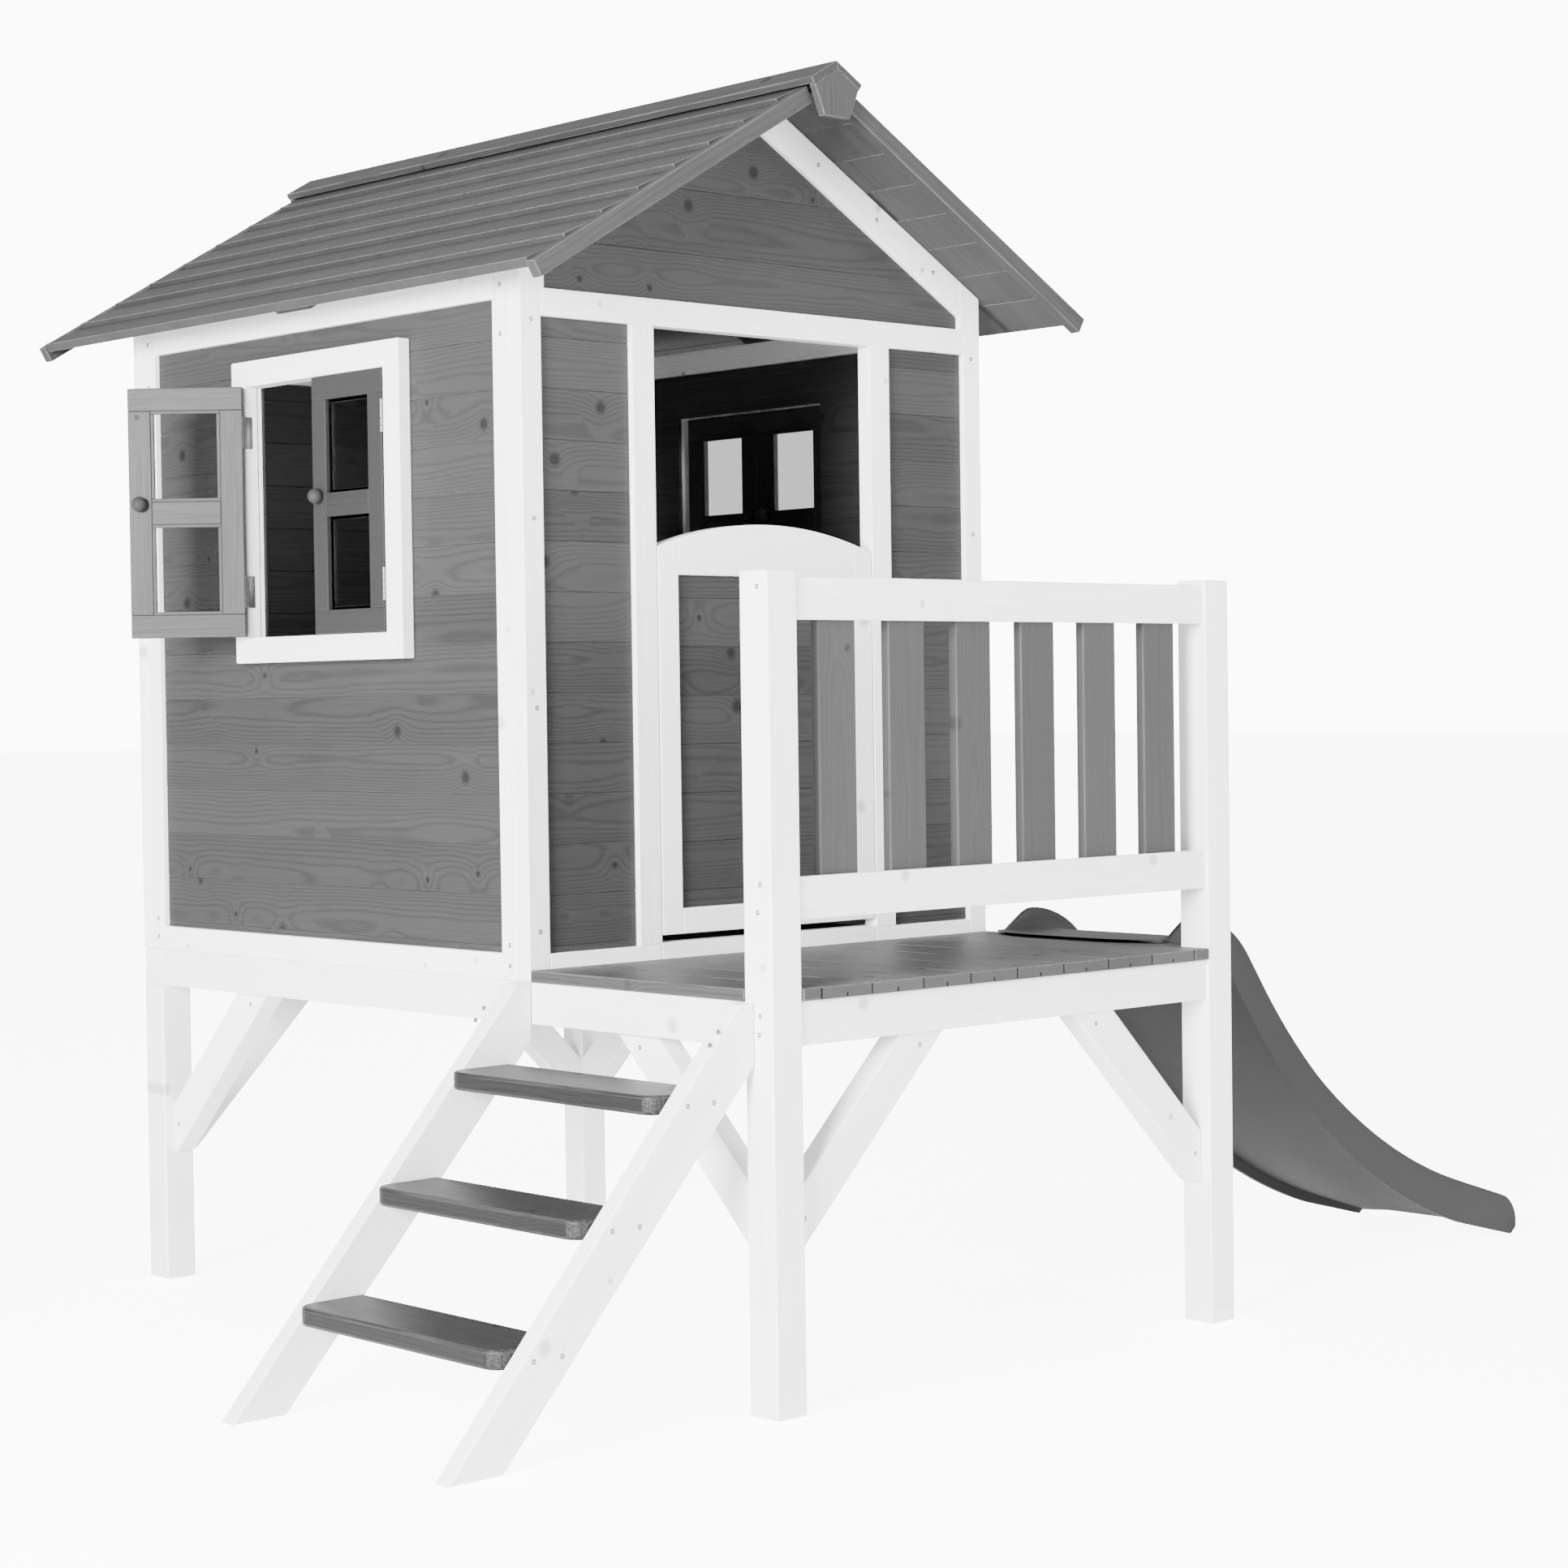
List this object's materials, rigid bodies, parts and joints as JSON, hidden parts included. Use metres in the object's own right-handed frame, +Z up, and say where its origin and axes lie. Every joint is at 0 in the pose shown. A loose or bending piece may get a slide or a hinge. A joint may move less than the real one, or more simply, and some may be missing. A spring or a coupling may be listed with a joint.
{
  "type": "children's playhouse on stilts",
  "caption": "Timber children's playhouse on legs with a gabled roof, half door, shuttered windows, railed veranda, ladder and a plastic slide.",
  "frame": {"origin": "middle of the whole object's box, on the ground it stands on", "axes": "+X from the ladder towards the slide, +Y from the veranda's railing towards the back wall, +Z up"},
  "size_m": [2.4336, 1.711, 1.89],
  "materials": {
    "white_stain": "white stained softwood, grain and small knots showing faintly through",
    "wall_grey": "mid grey translucent stain on softwood boards, fine grain and knots",
    "deck_grey": "grey stained planed deck boards, satin",
    "trim_grey": "even grey stain on planed softwood",
    "tread_grey": "dark grey stain with rounded edges, satin",
    "roof_grey": "grey stained weatherboards, slightly uneven stain",
    "slide_plastic": "dark grey moulded polyethylene with a soft sheen",
    "pane": "thin clear acrylic sheet, lightly smoked",
    "zinc": "zinc plated steel hinges and screws",
    "knob": "black turned knob, satin"
  },
  "bodies": {
    "root": {"leg_back_left": "white_stain", "leg_back_right": "white_stain", "post_front_left": "white_stain", "post_front_right": "white_stain", "brace_back_left_x": "white_stain", "brace_back_left_y": "white_stain", "brace_back_right_x": "white_stain", "brace_back_right_y": "white_stain", "brace_front_left_x": "white_stain", "brace_front_left_y": "white_stain", "brace_front_right_x": "white_stain", "brace_front_right_y": "white_stain", "beam_house_left": "white_stain", "beam_house_right": "white_stain", "beam_back": "white_stain", "beam_middle": "white_stain", "beam_deck_left": "white_stain", "beam_deck_right": "white_stain", "beam_front": "white_stain", "wall_frame_front": "white_stain", "wall_frame_back": "white_stain", "wall_frame_left": "white_stain", "wall_frame_right": "white_stain", "window_trim_left": "white_stain", "window_trim_right": "white_stain", "rail_top": "white_stain", "rail_bottom": "white_stain", "ladder_stringer_front": "white_stain", "ladder_stringer_rear": "white_stain", "wall_boards_front_left": "wall_grey", "wall_boards_front_right": "wall_grey", "wall_boards_back": "wall_grey", "wall_boards_left": "wall_grey", "wall_boards_right": "wall_grey", "gable_boards_front": "wall_grey", "gable_boards_back": "wall_grey", "deck_boards": "deck_grey", "house_floor": "deck_grey", "baluster_1": "trim_grey", "baluster_2": "trim_grey", "baluster_3": "trim_grey", "baluster_4": "trim_grey", "baluster_5": "trim_grey", "baluster_6": "trim_grey", "ladder_tread_1": "tread_grey", "ladder_tread_2": "tread_grey", "ladder_tread_3": "tread_grey", "roof_left": "roof_grey", "roof_right": "roof_grey", "ridge_cap_left": "roof_grey", "ridge_cap_right": "roof_grey", "ridge_plate_front": "roof_grey", "ridge_plate_back": "roof_grey", "slide": "slide_plastic"},
    "door": {"door_frame": "white_stain", "door_boards": "wall_grey"},
    "shutter_left_front": {"shutter_left_front": "trim_grey"},
    "shutter_left_rear": {"shutter_left_rear": "trim_grey"},
    "shutter_right_front": {"shutter_right_front": "trim_grey"},
    "shutter_right_rear": {"shutter_right_rear": "trim_grey"}
  },
  "joints": [
    {"name": "door_hinge", "type": "hinge", "parent": "root", "child": "door", "pos_m": [-0.01182, -0.3175, 0.9], "axis": [0, 0, 1], "range_deg": [-95, 0]},
    {"name": "shutter_left_rear_hinge", "type": "hinge", "parent": "root", "child": "shutter_left_rear", "pos_m": [-0.72082, 0.3365, 1.253], "axis": [0, 0, 1], "range_deg": [-35, 135]},
    {"name": "shutter_left_front_hinge", "type": "hinge", "parent": "root", "child": "shutter_left_front", "pos_m": [-0.72082, -0.0295, 1.253], "axis": [0, 0, 1], "range_deg": [0, 170]},
    {"name": "shutter_right_rear_hinge", "type": "hinge", "parent": "root", "child": "shutter_right_rear", "pos_m": [0.25418, 0.3755, 1.253], "axis": [0, 0, 1], "range_deg": [0, 170]},
    {"name": "shutter_right_front_hinge", "type": "hinge", "parent": "root", "child": "shutter_right_front", "pos_m": [0.25418, 0.0095, 1.253], "axis": [0, 0, 1], "range_deg": [-170, 0]}
  ]
}
